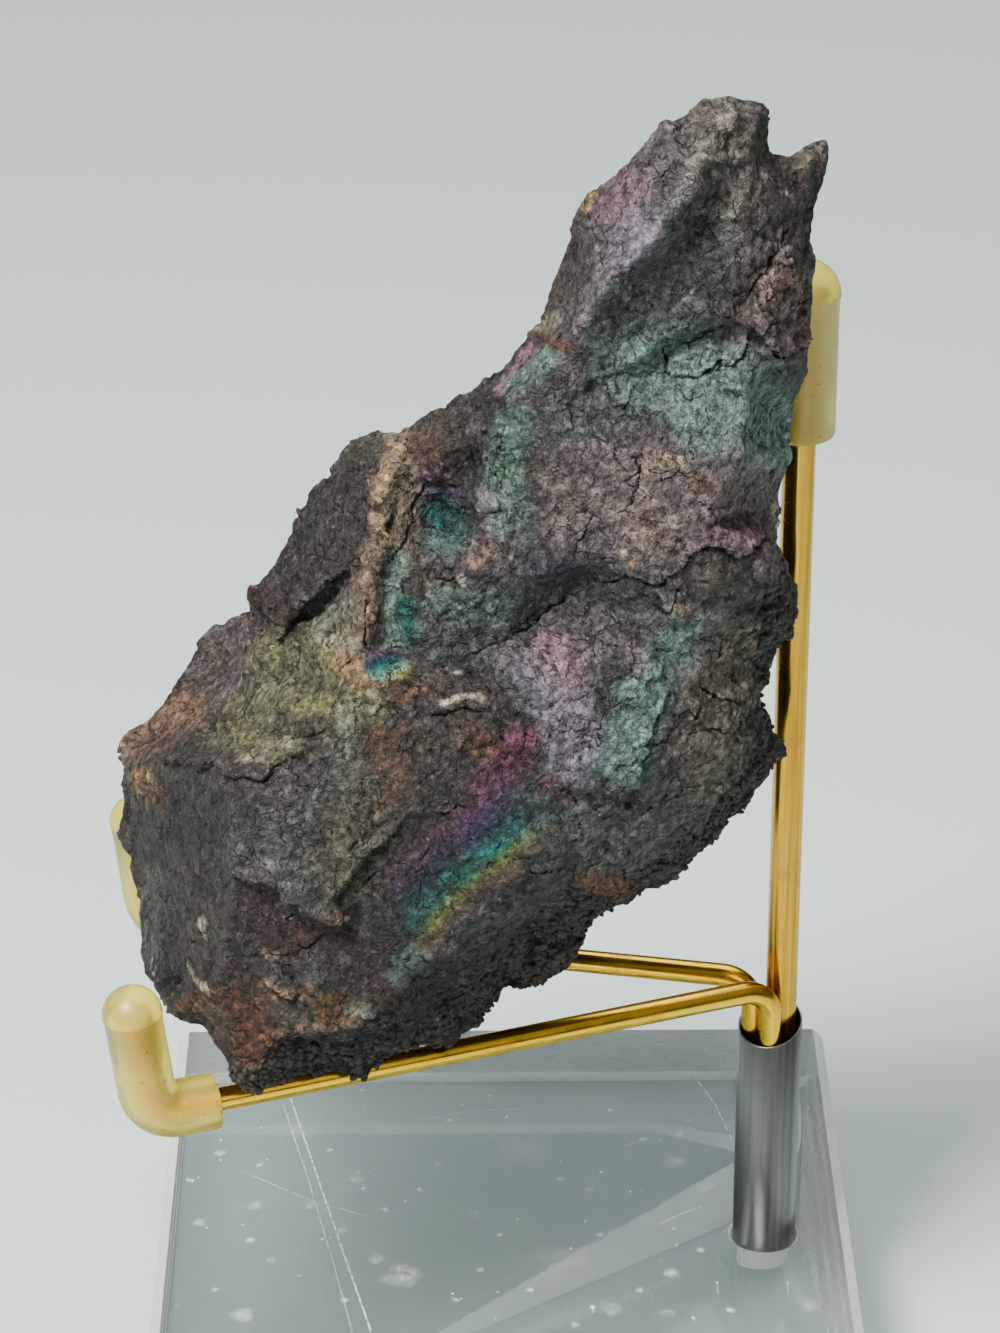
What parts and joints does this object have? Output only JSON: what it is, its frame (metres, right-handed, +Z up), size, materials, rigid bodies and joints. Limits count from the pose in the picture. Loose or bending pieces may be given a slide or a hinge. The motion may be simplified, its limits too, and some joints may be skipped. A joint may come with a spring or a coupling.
{
  "type": "limonite specimen on a display stand",
  "caption": "Tall broken piece of dark tarnished limonite held upright by brass wire arms with soft tips on a clear slab foot.",
  "frame": {"origin": "centre of the foot's flat underside", "axes": "+Z up, the stone's broad face looks along -Y, the post stands on the +X side"},
  "size_m": [0.094, 0.1016, 0.1775],
  "materials": {
    "stone": "dark grey brown broken stone, matt with a thin iridescent film and earthy yellow and red patches",
    "acrylic": "clear, polished, with fine scratches and dust",
    "steel": "drawn tube, lightly polished along its length",
    "brass": "polished drawn wire",
    "silicone": "frosted, pale yellow, lets light through"
  },
  "bodies": {
    "root": {"limonite": "stone", "base": "acrylic", "tube": "steel", "front_arm": "brass", "rear_arm": "brass", "post": "brass", "front_tip": "silicone", "rear_tip": "silicone", "post_tip": "silicone"}
  },
  "joints": []
}
